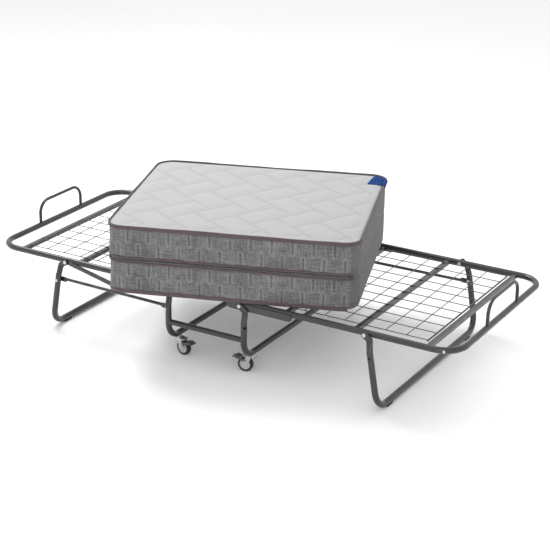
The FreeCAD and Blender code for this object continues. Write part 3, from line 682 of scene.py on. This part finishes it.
def waver(distance, seed, size):
    """A smooth, repeatable unevenness along a seam."""
    return size * sum(math.sin(distance * rate + seed * phase) / k
                      for k, (rate, phase) in enumerate(((11, 1.3), (27, 2.1), (61, 3.7)), start=1))


def edge_tape(name, block, z, seed):
    """Tape over one outer edge of a block: right round the upper one, and as far as the
    spine cloth on the lower one."""
    all_round = block == "upper"
    around = outline_points(TAPE_STEP)
    if not all_round:
        around = [pair for pair in around if pair[0].x < SPINE_START]
    path, sections = [], []
    for i, (place, outward) in enumerate(around):
        distance = i * TAPE_STEP
        height = z + waver(distance, seed, TAPE_WAVER)
        sway = outward * waver(distance, seed + 5, TAPE_SWAY)
        path.append((place + Vector((0, 0, height)) + sway, outward))
        sections.append(tape_section(waver(distance, seed + 9, BEAD_WAVER)))
    loop = sweep(name, path, sections, TAPE, closed=all_round)
    loop.matrix_world = block_place(BLOCK_MIDDLE[block])
    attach(loop, f"{block}_mattress")
    return loop


SLOT_END = HALF_LENGTH - CORNER_RADIUS * 0.42
SLOT_TURN = 0.0085
SLOT_TAPE = 0.0078
TURN_STEPS = 6


def slot_tape(name, block, seed):
    """Tape along one lip of the slot between the blocks. Near the spine it bends round to
    meet the tape of the other lip, at both sides."""
    up = 1 if block == "upper" else -1
    z = GAP_Z - BLOCK_MIDDLE[block] + up * SLOT_TURN
    around = [pair for pair in outline_points(SLOT_STEP) if pair[0].x < SLOT_END]
    turns = []
    for k in range(1, TURN_STEPS + 1):
        angle = k / TURN_STEPS * math.pi / 2
        turns.append((math.sin(angle) * SLOT_TURN, -up * (1 - math.cos(angle)) * SLOT_TURN))
    first, last = around[0], around[-1]
    path = [(first[0] + Vector((ahead, 0, z + drop)), first[1]) for ahead, drop in reversed(turns)]
    for i, (place, outward) in enumerate(around):
        path.append((place + Vector((0, 0, z + waver(i * SLOT_STEP, seed, TAPE_SWAY))), outward))
    path += [(last[0] + Vector((ahead, 0, z + drop)), last[1]) for ahead, drop in turns]
    sections = [tape_section(waver(i * SLOT_STEP, seed + 9, BEAD_WAVER), height=SLOT_TAPE)
                for i in range(len(path))]
    strip = sweep(name, path, sections, TAPE, closed=False)
    strip.matrix_world = block_place(BLOCK_MIDDLE[block])
    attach(strip, f"{block}_mattress")
    return strip


SHEET_ROWS = 60
SHEET_THICKNESS = 0.002
SHEET_OVERLAP = 0.006
SHEET_SLACK = 0.0035
SHEET_CREASE = 0.0022
CREASE_WIDTH = 0.05
SHEET_RIPPLE = 0.0005
SHEET_INSET = 0.0012
SHEET_END = 0.002
# The sheet's lowest part tucks in under the lower block's tape.
SHEET_TUCK = 0.006
TUCK_START = 0.95
TUCK_SPAN = 0.05


def spine_sheet():
    """The plain cloth down the whole spine end, creased where the mattress opens."""
    reach = BLOCK_THICK + (BLOCK_MIDDLE["upper"] - BLOCK_MIDDLE["lower"] - BLOCK_THICK) / 2
    pairs = [pair for pair in outline_points(TAPE_STEP) if pair[0].x > SPINE_START + SHEET_OVERLAP]
    # The outline starts in the middle of the spine, so the sheet starts after the gap in it.
    start = 1 + next(i for i, (here, there) in enumerate(zip(pairs, pairs[1:]))
                     if (here[0] - there[0]).length > CORNER_RADIUS)
    pairs = pairs[start:] + pairs[:start]
    points, faces = [], []
    for i, (place, outward) in enumerate(pairs):
        side = i / (len(pairs) - 1) * 2 - 1
        for row in range(SHEET_ROWS + 1):
            t = row / SHEET_ROWS * 2 - 1
            slack = SHEET_SLACK * (1 - t ** 8) * (1 - side ** 10)
            crease = SHEET_CREASE * math.exp(-(t / CREASE_WIDTH) ** 2) * (1 - side ** 10)
            ripple = waver(i * TAPE_STEP + t * 0.02, 2.0, SHEET_RIPPLE)
            low = SHEET_TUCK * smoothstep((-t - TUCK_START) / TUCK_SPAN)
            out = slack - crease + ripple - low - SHEET_INSET
            points.append(place + outward * out + Vector((0, 0, t * (reach - SHEET_END))))
    for i in range(len(pairs) - 1):
        for row in range(SHEET_ROWS):
            a = i * (SHEET_ROWS + 1) + row
            faces.append((a, a + SHEET_ROWS + 1, a + SHEET_ROWS + 2, a + 1))
    sheet = new_mesh("mattress_spine_sheet", points, faces, [LINEN])
    thicken(sheet, SHEET_THICKNESS, -1)
    add_attribute(sheet.data, "spine", np.ones(len(sheet.data.vertices)))
    sheet.matrix_world = block_place(GAP_Z)
    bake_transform(sheet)
    return sheet


def thicken(obj, thickness, offset):
    modifier = obj.modifiers.new("cloth_thickness", "SOLIDIFY")
    modifier.thickness = thickness
    modifier.offset = offset
    evaluated = obj.evaluated_get(bpy.context.evaluated_depsgraph_get())
    obj.data = bpy.data.meshes.new_from_object(evaluated)
    obj.modifiers.clear()


TAB_LENGTH = 0.060
TAB_WIDTH = 0.123
TAB_SLANT = 0.146
TAB_ROWS = 12
TAB_THICKNESS = 0.0012
TAB_LIFT = 0.0016
TAPE_COVER = 0.0022
# From this share of its length on, the patch rises to clear the tape, then folds over it.
TAB_RISE_START = 0.7
TAB_RISE_SPAN = 0.3
TAB_FOLD = math.radians(140)
TAB_FOLD_RADIUS = 0.0078
TAB_FOLD_ROWS = 8


def surface_height(tree, x, y):
    hit = tree.ray_cast(Vector((x, y, BLOCK_THICK)), Vector((0, 0, -1)))[0]
    return hit.z if hit else BLOCK_THICK / 2


def corner_tab(cover):
    """A plain blue patch sewn on the top's far corner at the spine, folded over the tape."""
    tree = BVHTree.FromPolygons([vertex.co for vertex in cover.data.vertices],
                                [polygon.vertices for polygon in cover.data.polygons])
    patch_x, patch_y = HALF_LENGTH - TAB_LENGTH, HALF_WIDTH - TAB_WIDTH
    tape_top = BLOCK_THICK / 2 + TAPE_COVER
    rim = [pair for pair in outline_points(SLOT_STEP)
           if pair[0].y > patch_y and pair[0].x > patch_x + TAB_SLANT * (pair[0].y - patch_y)]
    points, faces = [], []
    for place, outward in rim:
        inner = Vector((patch_x + TAB_SLANT * (place.y - patch_y), place.y, 0))
        for row in range(TAB_ROWS + 1):
            share = row / TAB_ROWS
            spot = inner.lerp(place, share)
            height = surface_height(tree, spot.x, spot.y) + TAB_LIFT
            over_tape = smoothstep((share - TAB_RISE_START) / TAB_RISE_SPAN)
            points.append(spot + Vector((0, 0, max(height, tape_top * over_tape))))
        for row in range(1, TAB_FOLD_ROWS + 1):
            angle = row / TAB_FOLD_ROWS * TAB_FOLD
            out = TAB_FOLD_RADIUS * math.sin(angle)
            up = EDGE_TAPE_Z + TAB_FOLD_RADIUS * math.cos(angle)
            points.append(place + outward * out + Vector((0, 0, up)))
    rows = TAB_ROWS + TAB_FOLD_ROWS + 1
    for i in range(len(rim) - 1):
        for row in range(rows - 1):
            a = i * rows + row
            faces.append((a, a + 1, a + rows + 1, a + rows))
    tab = new_mesh("mattress_corner_tab", points, faces, [BLUE])
    thicken(tab, TAB_THICKNESS, 0)
    tab.matrix_world = block_place(BLOCK_MIDDLE["upper"])
    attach(tab, "upper_mattress")
    return tab


EDGE_TAPE_Z = BLOCK_THICK / 2 - TAPE_HEIGHT / 2 + 0.001
covers = {block: make_cover(block) for block in BLOCKS}
for number, block in enumerate(BLOCKS, start=1):
    outer = 1 if block == "upper" else -1
    edge_tape(f"{block}_outer_tape", block, outer * EDGE_TAPE_Z, seed=number)
    slot_tape(f"{block}_slot_tape", block, seed=number + 3)
spine_sheet()
corner_tab(covers["upper"])

# ---------------------------------------------------------------- floor, light, camera
floor_shader = Shader("floor")
floor_shader.base(Base_Color=rgba((0.92, 0.92, 0.92)), Roughness=0.9, Specular_IOR_Level=0.1)
FLOOR_HALF = 8
floor_corners = [(x * FLOOR_HALF, y * FLOOR_HALF, 0) for x, y in ((-1, -1), (1, -1), (1, 1), (-1, 1))]
floor = new_mesh("floor", floor_corners, [(0, 1, 2, 3)], [floor_shader.material])

SKY_STRENGTH = 0.95
world = bpy.data.worlds.new("studio")
scene.world = world
world.use_nodes = True
world.node_tree.nodes["Background"].inputs["Color"].default_value = (1, 1, 1, 1)
world.node_tree.nodes["Background"].inputs["Strength"].default_value = SKY_STRENGTH
scene.view_settings.view_transform = "Standard"


def area_light(name, place, aim, size, watts):
    light = bpy.data.lights.new(name, "AREA")
    light.energy = watts
    light.size = size
    lamp = bpy.data.objects.new(name, light)
    scene.collection.objects.link(lamp)
    lamp.location = place
    lamp.rotation_euler = (Vector(aim) - Vector(place)).to_track_quat("-Z", "Y").to_euler()


area_light("key", (-2.2, 0.6, 3.4), (0, 0, 0.2), 1.6, 95)
area_light("front", (1.6, -3.4, 2.2), (0, 0, 0.3), 2.0, 28)

CAMERA_AZIMUTH = math.radians(30.586)
CAMERA_ELEVATION = math.radians(23.839)
CAMERA_ROLL = math.radians(0.6)
CAMERA_DISTANCE = 5.750
SENSOR_WIDTH = 36
LENS = 101.4
SHIFT_X = 0.0199
SHIFT_Y = 0.098
FAR_CLIP = 100
camera_data = bpy.data.cameras.new("camera")
camera_data.sensor_width = SENSOR_WIDTH
camera_data.lens = LENS
camera_data.shift_x = SHIFT_X
camera_data.shift_y = SHIFT_Y
camera = bpy.data.objects.new("camera", camera_data)
scene.collection.objects.link(camera)
scene.camera = camera
aim = Vector((0, DECK_Y, 0))
towards = Vector((math.sin(CAMERA_AZIMUTH) * math.cos(CAMERA_ELEVATION),
                  -math.cos(CAMERA_AZIMUTH) * math.cos(CAMERA_ELEVATION),
                  math.sin(CAMERA_ELEVATION)))
camera.location = aim + towards * CAMERA_DISTANCE
camera.rotation_mode = "QUATERNION"
look = (aim - camera.location).to_track_quat("-Z", "Y")
camera.rotation_quaternion = look @ Matrix.Rotation(CAMERA_ROLL, 4, "Z").to_quaternion()
camera_data.clip_end = FAR_CLIP
